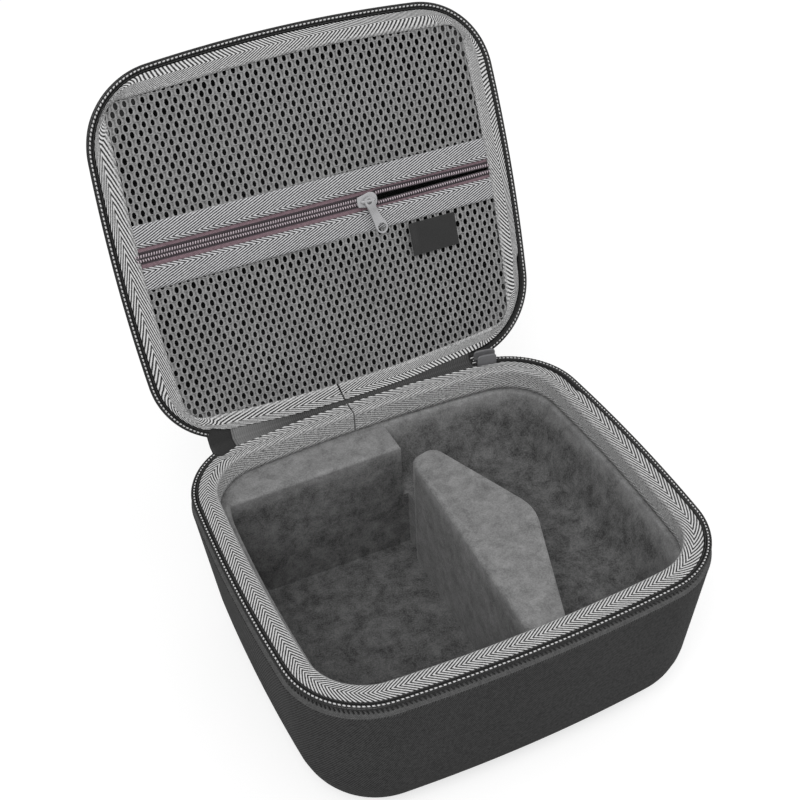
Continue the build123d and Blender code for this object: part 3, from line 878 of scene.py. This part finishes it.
def meshPanel(way, word):
    # one knitted cell round each hole, joined to its neighbours
    p = pocket
    cx, cy = meshCells(way)
    rings = cellRings()
    border = rings[0][0]
    rng = np.random.default_rng(11 if way > 0 else 12)
    jitter = rng.normal(0, 0.05 * mm, (len(cx), 2))
    stretch = 1 + rng.normal(0, 0.05, (len(cx), 1))
    # each ring's painted brightness: painted highlight on the thread's top, painted shade in the hole and on
    # the back
    ringPoints, crest = [], []
    for shape, height, paintedBrightness in rings:
        loose = shape is not border
        x = cx[:, None] + shape[:, 0] * (stretch if loose else 1) + jitter[:, :1] * loose
        y = cy[:, None] + shape[:, 1] * (stretch if loose else 1) + jitter[:, 1:] * loose
        ringPoints.append(np.stack([x, y, np.full_like(x, p["meshZ"] + height * p["meshThickness"])], -1))
        crest.append(np.full(x.shape, paintedBrightness))
    points = np.stack(ringPoints, 1).reshape(-1, 3)
    crest = np.stack(crest, 1).reshape(-1)
    ripple = meshRipple(points[:, 0], points[:, 1], way)
    # the knit is drawn sideways by its ripples
    points += ripple[:, None] * (0.4, 0.3, -1)
    cell = len(rings) * len(border)
    one = gridFaces(len(rings), len(border), closed=True)
    faces = (one[None] + (np.arange(len(cx)) * cell)[:, None, None]).reshape(-1, 4)
    # neighbouring cells share their borders
    key = np.round(points / (0.02 * mm)).astype(np.int64)
    found, first, shared = np.unique(key, axis=0, return_index=True, return_inverse=True)
    points, crest, faces = points[first], crest[first], shared.reshape(-1)[faces]
    thing = addPiece("meshPanel" + word, place(*points.T, "lid"), faces, "lid", [meshCloth],
                     ["mesh_panel_" + word.lower()])
    # the painted highlight and painted shade go onto the points
    attribute = thing.data.attributes.new("crest", "FLOAT", "POINT")
    attribute.data.foreach_set("value", crest.astype(np.float32))
    return len(cx)


zipSides = ((-1, "Upper"), (1, "Lower"))
print("mesh knitted:", sum(meshPanel(way, word) for way, word in zipSides), "holes")


def dip(a, depth):
    # both ends of a strip lie deeper, under the binding
    return np.clip((np.abs(a) - pocket["dipFrom"]) / pocket["dipOver"], 0, 1) * depth


def pocketTapePiece(way, word):
    # twill tape beside the pocket zip, a closed thin solid
    p = pocket
    near, far = way * p["half"], way * (p["half"] + p["tapeWidth"])
    along, out = np.linspace(-p["stripHalf"], p["stripHalf"], 100), np.linspace(near, far, 9)
    a, o = np.meshgrid(along, out, indexing="ij")
    x, y = zipFrame(a, o)
    puff = p["tapePuff"] * np.sin(math.pi * np.clip((np.abs(o) - p["half"]) / p["tapeWidth"], 0, 1))
    lift = puff + p["tapeWave"] * np.sin(a / (7 * mm) + way) - dip(a, p["tapeDip"])
    points = bothSides(*[place(x, y, lift + z, "lid") for z in p["tapeZ"]])
    uv = np.stack([a * way * p["drawn"], np.abs(o - near)], -1)
    faces = gridFaces(*points.shape[:2], closed=True)[:, ::-way]
    addPiece("pocketTape" + word, points, faces, "lid", [twillPocket],
             ["pocket_tape_" + word.lower()], bothSides(uv, uv))


def openBump(a):
    # how far each side of the open part of the zip lies from its line: widest just right of the slider
    p = pocket
    t = np.clip((a - p["sliderX"]) / (p["gapeEnd"] - p["sliderX"]), 0, 1)
    return smoothStep((a - p["sliderX"] - 2 * mm) / (5 * mm)) * (p["gape"] - p["gapeLoss"] * t)


def pocketZipTapePiece(way, word):
    # mauve tape whose inner edge follows the gape; painted shade runs as a dark line along both of its
    # edges, in the groove beside the coil and under the twill tape's edge
    p = pocket
    share = np.array([0, 0.24, 0.3, 0.45, 0.6, 0.66, 1.0])
    a, s = np.meshgrid(np.linspace(-p["stripHalf"], p["stripHalf"], 160), share, indexing="ij")
    inner = p["zipTapeInner"] + openBump(a)
    outer = p["half"] + p["zipTapeUnder"]
    x, y = zipFrame(a, way * (inner + (outer - inner) * s))
    points = bothSides(*[place(x, y, z - dip(a, p["zipTapeDip"]), "lid") for z in p["zipTapeZ"]])
    uv = np.stack([a, s * (outer - inner)], -1)
    rows, columns = points.shape[:2]
    faces = gridFaces(rows, columns, closed=True)[:, ::-way]
    # painted shade: the first and fifth columns of faces take the dark material, along the groove beside the
    # coil and under the twill tape's edge
    dark = np.tile(np.isin(np.arange(columns), [0, 4]), rows - 1)
    addPiece("pocketZipTape" + word, points, faces, "lid", [mauveTape, mauvePaintedShade],
             ["pocket_zip_tape_" + word.lower()], bothSides(uv, uv), marks=[int(d) for d in dark])


pocketCoil = {
    "pitch": 1.3 * mm,
    "wire": 0.31 * mm,
    "wide": 0.48 * mm,
    "tall": 0.42 * mm,
    "z": -1.35 * mm,
    "inner": 0.34 * mm,
    "half": 96 * mm,
    "core": 0.34 * mm,
    "head": 0.27 * mm,
    "headOut": 0.28 * mm,
    "slant": 0.16,  # shares of the pitch: the slant of a turn, and the step from one side to the other
    "stagger": 0.25,
    "steps": 12,
}


def pocketCoilPiece(way, word):
    # coil on the inner edge of its tape: meshed with its partner left of the slider, apart right of it
    c = pocketCoil
    turns = int(2 * c["half"] / c["pitch"])
    t = np.arange(turns * c["steps"] + 1) / c["steps"]
    angle = 2 * math.pi * t
    along = (t + c["stagger"] * way + c["slant"] * np.cos(angle)) * c["pitch"] - c["half"]
    out = way * (c["inner"] + c["wire"] + openBump(along) + c["wide"] * (1 - np.cos(angle)))
    x, y = zipFrame(along, out)
    parts = [tubeMesh(place(x, y, c["z"] + c["tall"] * np.sin(angle), "lid"), c["wire"], 6)]
    # the core that the loops are wound on, and the meshed heads at the zip's line, drawn dark as painted
    # shade between the light loops
    line = np.arange(-c["half"], c["half"], 1.5 * mm)
    for distance, radius in ((c["inner"] + c["wire"] + c["wide"], c["core"]), (c["headOut"], c["head"])):
        x, y = zipFrame(line, way * (distance + openBump(line)))
        parts.append(tubeMesh(place(x, y, c["z"], "lid"), radius, 6))
    points, faces, marks = joinMeshes(parts)
    addPiece("pocketCoil" + word, points, faces, "lid", [mauveNylon, mauvePaintedShade],
             ["pocket_coil_" + word.lower()], marks=[min(m, 1) for m in marks])


for way, word in zipSides:
    pocketTapePiece(way, word)
for way, word in zipSides:
    pocketZipTapePiece(way, word)
    pocketCoilPiece(way, word)
print("pocket zipped")

# the pocket's slider: a crown-shaped plate on the front with a bridge, a plain plate behind.
# its pull leans right, and its tab bends down from the bridge to rest on the cloth
slider = {
    "crown": [(-5.3, -2.2), (-5.3, 2.2), (-3.4, 2.9), (-1.2, 3.4), (1.4, 4.0), (3.8, 3.3), (5.2, 1.5),
              (5.2, -1.5), (3.8, -3.3), (1.4, -4.0), (-1.2, -3.4), (-3.4, -2.9)],  # in mm
    "arch": [(-3.6, 0, 0.5), (-3.2, 0, 1.5), (-2.2, 0, 2.25), (-0.5, 0, 2.5), (1.4, 0, 2.45), (2.8, 0, 2.1),
             (3.5, 0, 1.3), (3.7, 0, 0.4)],  # steep at the left, level, and down at the right, in mm
    "bar": 0.62 * mm,
    "front": -0.1 * mm,
    "back": -3.7 * mm,
    "thickness": 0.9 * mm,
    "backThickness": 0.8 * mm,
}
pull = {
    "half": [(0, -2.1), (1.7, -1.6), (2.5, 0.2), (2.35, 3.0), (2.25, 6.0), (2.35, 9.0), (2.75, 12.0),
             (3.15, 14.5), (2.95, 16.8), (1.7, 18.5)],  # one side of its outline, in mm
    "tip": 18.95 * mm,
    "window": (15.8 * mm, 2.2 * mm, 2.25 * mm),  # middle and the two radii
    "eye": (0.35 * mm, 1.35 * mm, 1.5 * mm),
    "thickness": 1.1 * mm,
    "sag": 1.6 * mm,
    "pivotZ": 2.5 * mm,
    "lean": math.radians(18.5),
}


def flatPlate(outer, holes, thickness, rounding):
    # plate cut along closed outlines, with rounded edges, lying in the plane z = 0
    curve = bpy.data.curves.new("outline", "CURVE")
    curve.dimensions = "2D"
    curve.fill_mode = "BOTH"
    curve.extrude = thickness / 2 - rounding
    curve.bevel_depth = rounding
    curve.bevel_resolution = 2
    curve.offset = -rounding
    for line in [outer] + holes:
        spline = curve.splines.new("POLY")
        spline.points.add(len(line) - 1)
        flat = np.column_stack([line, np.zeros(len(line)), np.ones(len(line))])
        spline.points.foreach_set("co", flat.ravel())
        spline.use_cyclic_u = True
    thing = bpy.data.objects.new("outline", curve)
    bpy.context.scene.collection.objects.link(thing)
    mesh = bpy.data.meshes.new_from_object(thing)
    points = np.zeros(len(mesh.vertices) * 3)
    mesh.vertices.foreach_get("co", points)
    faces = [list(f.vertices) for f in mesh.polygons]
    bpy.data.objects.remove(thing)
    bpy.data.curves.remove(curve)
    bpy.data.meshes.remove(mesh)
    return points.reshape(-1, 3), faces


def smoothOutline(corners, count=96):
    # closed smooth line through corner points, of even steps
    corners = np.array(corners)
    n = len(corners)
    t = np.arange(count) / count * n
    i = t.astype(int)
    f = (t - i)[:, None]
    p = [corners[(i + k) % n] for k in (-1, 0, 1, 2)]
    return 0.5 * (2 * p[1] + (p[2] - p[0]) * f + (2 * p[0] - 5 * p[1] + 4 * p[2] - p[3]) * f ** 2
                  + (3 * p[1] - p[0] - 3 * p[2] + p[3]) * f ** 3)


def toSlider(points, height=0.0, turn=0.0):
    # from the slider's own plane, x along the zip and y towards the hinge, onto the lid
    points = np.asarray(points)
    c, s = math.cos(turn), math.sin(turn)
    x = points[:, 0] * c + points[:, 1] * s
    y = points[:, 1] * c - points[:, 0] * s
    px, py = zipFrame(x + pocket["sliderX"], y)
    return place(px, py, points[:, 2] + height, "lid")


def pocketSliderPiece():
    s = slider
    crown = smoothOutline(np.array(s["crown"]) * mm)
    plate, faces = flatPlate(crown, [], s["thickness"], 0.3 * mm)
    backPlate, backFaces = flatPlate(crown * 0.94, [], s["backThickness"], 0.16 * mm)
    post, postFaces = postBox((1.5 * mm, 4.2 * mm), (-0.35 * mm, 0.35 * mm), (s["back"], s["front"]))
    bar, barFaces = tubeMesh(evenLine(s["arch"], 30) * mm, s["bar"], 10, (0, 1, 0))
    points, faces, marks = joinMeshes([
        (toSlider(plate, s["front"] + s["thickness"] / 2), faces),
        (toSlider(backPlate, s["back"]), backFaces),
        (toSlider(post), postFaces),
        (toSlider(bar * (1, 1.35, 1)), barFaces),
    ])
    addPiece("pocketSlider", points, faces, "pocket_slider", [zinc], ["pocket_slider"],
             smooth=False)


def pocketPullPiece():
    p = pull
    half = np.array(p["half"]) * mm
    outline = np.concatenate([half, [(0, p["tip"])], half[:0:-1] * (-1, 1)])
    angle = np.linspace(0, 2 * math.pi, 40, endpoint=False)
    holes = [np.stack([wide * np.cos(angle), middle + tall * np.sin(angle)], -1)
             for middle, wide, tall in (p["window"], p["eye"])]
    plate, faces = flatPlate(smoothOutline(outline, 120), holes, p["thickness"], 0.22 * mm)
    plate[:, 2] -= p["sag"] * smoothStep((plate[:, 1] - 1 * mm) / (8 * mm))
    points = toSlider(plate, p["pivotZ"], p["lean"])
    addPiece("pocketPull", points, faces, "pocket_pull", [zinc], ["pocket_pull"],
             smooth=False)


pocketSliderPiece()
pocketPullPiece()

# the main zip's slider, parked at the right end of the hinge: two plates bent to the corner, with a post
# between them and a bridge
mainSlider = {
    "angle": math.radians(80),
    "inner": 36.67 * mm,
    "outer": 41.4 * mm,
    "thickness": 0.8 * mm,
    "length": 12 * mm,
    "half": 4.2 * mm,
    "corner": 2.0 * mm,
    "arch": [(-1, 0, 0), (-1, 0, 0.55), (-0.8, 0, 0.95), (-0.4, 0, 1), (0.4, 0, 1), (0.8, 0, 0.95),
             (1, 0, 0.55), (1, 0, 0)],  # in shares of the bridge's half length and height
    "bridge": (2.8 * mm, 2.1 * mm),
    "bar": 0.45 * mm,
}


def roundedBox(halfX, halfY, r):
    # outline of a rounded rectangle, with points all along its sides so that the plate bends evenly
    line = []
    for signX, signY, start in ((1, 1, 0), (-1, 1, 1), (-1, -1, 2), (1, -1, 3)):
        a = np.linspace(start, start + 1, 8) * math.pi / 2
        line.append(np.stack([signX * (halfX - r) + r * np.cos(a), signY * (halfY - r) + r * np.sin(a)], -1))
    return denserLine(np.concatenate(line + [line[0][:1]]), 1.0 * mm)[:-1]


def mainSliderPiece():
    m = mainSlider
    cornerX, cornerY = arcs[7][0], arcs[7][1]

    def bend(points, radius):
        # x along the travel, y up, z out from the corner's middle
        angle = m["angle"] - points[:, 0] / m["outer"]
        out = radius + points[:, 2]
        return place(cornerX + out * np.cos(angle), cornerY + out * np.sin(angle), points[:, 1], "base")

    shape = roundedBox(m["length"] / 2, m["half"], m["corner"])
    plate, plateFaces = flatPlate(shape, [], m["thickness"], 0.2 * mm)
    post, postFaces = postBox((-1.5 * mm, 1.5 * mm), (-0.28 * mm, 0.28 * mm), (m["inner"] - m["outer"], 0))
    arch = evenLine(m["arch"], 26) * (m["bridge"][0], 1, m["bridge"][1])
    bar, barFaces = tubeMesh(arch, m["bar"], 8, (0, 1, 0))
    points, faces, marks = joinMeshes([
        (bend(plate, m["inner"]), plateFaces),
        (bend(plate, m["outer"]), plateFaces),
        (bend(post, m["outer"]), postFaces),
        (bend(bar, m["outer"]), barFaces),
    ])
    addPiece("mainSlider", points, faces, "main_slider", [greyZinc], ["main_slider"],
             smooth=False)


mainSliderPiece()
print("sliders and pull placed")

# label on the lower mesh, sewn on with its left edge lifting a little
label = {
    "x": 57.5 * mm,
    "out": 26.1 * mm,
    "width": 26.5 * mm,
    "height": 17 * mm,
    "thickness": 0.5 * mm,
    "z": -1.65 * mm,
    "curl": 1.5 * mm,
}


def labelPiece():
    b = label
    a, o = np.meshgrid(np.linspace(-0.5, 0.5, 28), np.linspace(-0.5, 0.5, 14), indexing="ij")
    lift = b["curl"] * smoothStep((-a - 0.32) / 0.18) * (0.6 + 0.4 * np.cos(math.pi * o))
    lift = lift + 0.12 * mm * np.sin(a * 9) * np.cos(o * 6)
    x, y = zipFrame(b["x"] + a * b["width"] - lift * 0.3, b["out"] + o * b["height"])
    points = bothSides(place(x, y, b["z"] + b["thickness"] + lift, "lid"), place(x, y, b["z"] + lift, "lid"))
    rows, columns = points.shape[:2]
    faces = gridFaces(rows, columns, closed=True)
    allFaces = np.concatenate([faces[:, ::-1], endFaces(rows, columns)])
    # its left end shows a pale cut edge
    marks = [0] * len(faces) + [1] * (columns // 2 - 1) + [0] * (columns // 2 - 1)
    return addPiece("clothLabel", points, allFaces, "lid", [labelCloth, paleCutEdge],
                    ["label"], smooth=False, marks=marks)


labelPiece()
print("label sewn on")

# the cloth hinge: black cloth from slot to slot round the fold with a flat layer under the bindings,
# and a grey ribbon over it
fold = {
    "clothDepth": 1.95 * mm,
    "clothThickness": 0.4 * mm,
    "clothPast": 2.1 * mm,  # the cloth runs this far past the hinge's right end
    "flatBend": 1.6 * mm,
    "skirtDepth": 3.0 * mm,
    "skirtBends": [2 * mm, 0.9 * mm, 2 * mm],
    "shoulder": 5 * mm,
    "ribbonEnds": (-72 * mm, 64 * mm),
    "ribbonDepth": 1.52 * mm,
    "ribbonThickness": 0.35 * mm,
    "ribbonBend": 1.5 * mm,
    "under": 9.0 * mm,
    "ribbonUnder": 8.0 * mm,
    "slot": 2.3 * mm,
    "slotDepth": {"base": 15.5 * mm, "lid": 9.0 * mm},
    "axisDepth": 1.7 * mm,
    "turn": 1.6 * mm,
}


def backY(x, inset):
    # y of the back edge, an inset inside the outline, round its corners too
    radius = rim["frontRadius"] - inset
    cornerX, cornerY = arcs[7][0], arcs[7][1]
    if abs(x) < cornerX * radius / (rim["frontRadius"] - rim["cornerRadius"]):
        return rim["depth"] / 2 - inset - radius + math.sqrt(radius ** 2 - x ** 2)
    return cornerY + math.sqrt((rim["cornerRadius"] - inset) ** 2 - (abs(x) - cornerX) ** 2)


def foldCorner(depth):
    # where flat cloth a depth below both rims meets itself at the fold, as y and z
    c, s = math.cos(rim["openAngle"]), math.sin(rim["openAngle"])
    return rim["foldY"] + depth * (1 + c) / s, rim["height"] - depth


def foldPath(x, corners, radii, steps):
    # each corner is (side, inset or None for the fold, depth); gives a rounded path of y and z at one x
    line = []
    for side, inset, depth in corners:
        if inset is None:
            line.append(foldCorner(depth))
        else:
            line.append(place(x, backY(x, inset), -depth, side)[1:])
    return roundedLine(line, radii, steps)


def foldSheet(left, right, corners, radii, thickness, steps=7):
    # closed thin sheet along such paths; gives points, faces, uv and its mean length
    xs = np.linspace(left, right, int((right - left) / (3 * mm)) + 1)
    rows, uvs, total = [], [], []
    for x in xs:
        path = foldPath(x, corners, radii, steps)
        half = lineNormals(path) * thickness / 2
        section = np.concatenate([path + half, (path - half)[::-1]])
        along = lengths(path)
        total.append(along[-1])
        rows.append(np.column_stack([np.full(len(section), x), section]))
        uvs.append(np.column_stack([np.full(len(section), x), np.concatenate([along, along[::-1]])]))
    faces = np.concatenate([gridFaces(len(xs), len(rows[0]), closed=True), endFaces(len(xs), len(rows[0]))])
    return np.array(rows).reshape(-1, 3), faces, np.array(uvs).reshape(-1, 2), float(np.mean(total))


def blendFold(thing):
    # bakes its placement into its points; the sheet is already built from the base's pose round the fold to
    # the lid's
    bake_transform(thing)


def layFlat(under, depth):
    # corners of a layer that lies flat under both bindings and bends at the fold
    return [("base", under, depth), (None, None, depth), ("lid", under, depth)]


def hingeClothPiece():
    # a flat layer, and a skirt that comes up out of both slots
    f = fold
    ends = rim["hingeLeft"], rim["hingeRight"] + f["clothPast"]
    flat = layFlat(f["under"], f["clothDepth"])
    skirt = [("base", f["slot"], f["slotDepth"]["base"]), ("base", f["slot"], f["shoulder"]),
             (None, None, f["skirtDepth"]),
             ("lid", f["slot"], f["shoulder"]), ("lid", f["slot"], f["slotDepth"]["lid"])]
    flatPoints, flatFaces, flatUv, flatWide = foldSheet(*ends, flat, [f["flatBend"]], f["clothThickness"])
    skirtPoints, skirtFaces, skirtUv, skirtWide = foldSheet(*ends, skirt, f["skirtBends"],
                                                            f["clothThickness"], 5)
    points, faces, marks = joinMeshes([(flatPoints, flatFaces), (skirtPoints, skirtFaces)])
    cloth = addPiece("hingeCloth", points, faces, None, [hingeCloth],
                     ["hinge_cloth_base", "hinge_cloth_lid"], np.concatenate([flatUv, skirtUv]))
    blendFold(cloth)
    print("hinge cloth sewn,", round((flatWide + skirtWide) / mm, 1), "mm wide")
    return cloth


def hingeRibbonPiece(cloth):
    f = fold
    left, right = f["ribbonEnds"]
    corners = layFlat(f["ribbonUnder"], f["ribbonDepth"])
    points, faces, uv, wide = foldSheet(left, right, corners, [f["ribbonBend"]], f["ribbonThickness"])
    ribbon = addPiece("hingeRibbon", points, faces, None, [ribbonCloth],
                      ["hinge_ribbon_base", "hinge_ribbon_lid"], uv)
    blendFold(ribbon)
    print("hinge ribbon sewn,", round(wide / mm, 1), "mm wide")


hingeRibbonPiece(hingeClothPiece())

# finishes for the construction's own pieces
finishes = {
    "base_insert": velour,
    "base_shell": foam,
    "lid_shell": foam,
    # the lining's near black is partly painted shade in the lid's cavity
    "lid_liner": liningWithPaintedShade,
    "main_pull": zinc,
}
for name, material in finishes.items():
    mesh = frame["nodes"][name].data
    mesh.materials.clear()
    mesh.materials.append(material)

# floor, world and lamps
lighting = {
    "floorReach": 6.0,
    "floorGrey": 0.5,
    "floorGlow": 0.62,  # seen by the camera only, so that the floor meets the white world
    "world": 0.62,
    "key": {"where": (-0.7, -0.9, 1.5), "size": 1.1, "power": 14.0},
    "fill": {"where": (1.2, -0.5, 1.0), "size": 1.2, "power": 5.0},
    "target": (0, 0.05, 0.1),
}
reach, grey = lighting["floorReach"], lighting["floorGrey"]
floorMesh = bpy.data.meshes.new("floor")
corners = [(x * reach, y * reach, 0) for x, y in ((-1, -1), (1, -1), (1, 1), (-1, 1))]
floorMesh.from_pydata(corners, [], [(0, 1, 2, 3)])
floorThing = bpy.data.objects.new("floor", floorMesh)
bpy.context.scene.collection.objects.link(floorThing)
floorMaterial = bpy.data.materials.new("paperFloor")
floorMaterial.use_nodes = True
tree = floorMaterial.node_tree
tree.nodes.clear()
seen = addNode(tree, "LightPath").outputs["Is Camera Ray"]
strength = addNode(tree, "Math", (seen, lighting["floorGlow"]), operation="MULTIPLY")
glow = addNode(tree, "Emission", {"Color": (1, 1, 1, 1), "Strength": strength})
matt = addNode(tree, "BsdfDiffuse", {"Color": (grey, grey, grey, 1)})
addNode(tree, "OutputMaterial", {"Surface": addNode(tree, "AddShader", (matt, glow))})
floorMesh.materials.append(floorMaterial)

world = bpy.data.worlds.new("studio")
bpy.context.scene.world = world
world.use_nodes = True
tree = world.node_tree
tree.nodes.clear()
rays = addNode(tree, "LightPath").outputs
seen = addNode(tree, "Math", (rays["Is Camera Ray"], rays["Is Transmission Ray"]), operation="MAXIMUM")
strength = addNode(tree, "Mix", {"Factor": seen, 2: lighting["world"], 3: 1.0}, data_type="FLOAT")
sky = addNode(tree, "Background", {"Color": (1, 1, 1, 1), "Strength": strength})
addNode(tree, "OutputWorld", {"Surface": sky})

for name in ("key", "fill"):
    lamp = lighting[name]
    lampData = bpy.data.lights.new(name, "AREA")
    lampData.shape = "DISK"
    lampData.size = lamp["size"]
    lampData.energy = lamp["power"]
    lampThing = bpy.data.objects.new(name, lampData)
    bpy.context.scene.collection.objects.link(lampThing)
    lampThing.location = lamp["where"]
    lampThing.rotation_mode = "QUATERNION"
    aim = Vector(lighting["target"]) - Vector(lamp["where"])
    lampThing.rotation_quaternion = aim.to_track_quat("-Z", "Y")
bpy.context.scene.view_settings.view_transform = "Standard"
print("stage lit")
